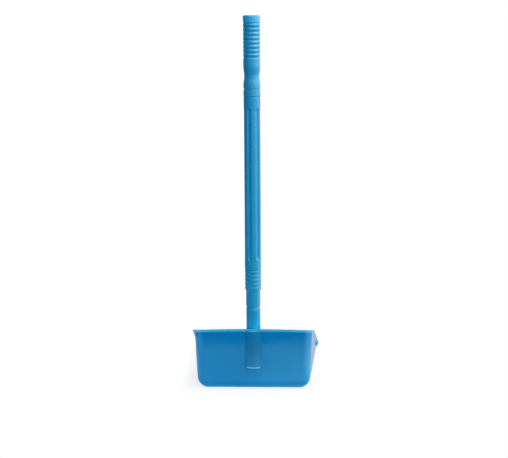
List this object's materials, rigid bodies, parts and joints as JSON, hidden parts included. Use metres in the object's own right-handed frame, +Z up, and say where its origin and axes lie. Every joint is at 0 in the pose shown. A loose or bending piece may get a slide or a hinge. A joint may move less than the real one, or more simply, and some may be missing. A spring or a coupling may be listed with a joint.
{
  "type": "long-handled dustpan",
  "caption": "Deep upright dustpan with sloping side walls and an open front, carried on a tall straight plastic pole with a ringed, waisted grip and a round end cap.",
  "frame": {"origin": "on the ground under the middle of the pan, at the bottom centre of the whole object's box", "axes": "+Z up along the pole, +Y out of the pan's open mouth, so the back wall and the pole are on the -Y side; +X to the right for someone who stands behind the back wall and looks towards the mouth"},
  "size_m": [0.2866, 0.281, 0.7632],
  "materials": {
    "pan_plastic": "smooth moulded blue polypropylene, satin gloss",
    "tube_plastic": "smooth moulded blue polypropylene, satin gloss",
    "handle_plastic": "moulded blue polypropylene, slightly duller satin",
    "cap_plastic": "moulded blue polypropylene, satin gloss"
  },
  "bodies": {
    "pan": {"pan": "pan_plastic"},
    "lower_tube": {"lower_tube": "tube_plastic"},
    "handle": {"pole_ferrule": "handle_plastic", "pole_tube": "handle_plastic", "grip": "handle_plastic", "grip_cap": "cap_plastic"}
  },
  "joints": [
    {"name": "tube_pull", "type": "slide", "parent": "pan", "child": "lower_tube", "axis": [0, 0, 1], "range_m": [0, 0.086]},
    {"name": "handle_pull", "type": "slide", "parent": "lower_tube", "child": "handle", "axis": [0, 0, 1], "range_m": [0, 0.046]}
  ]
}
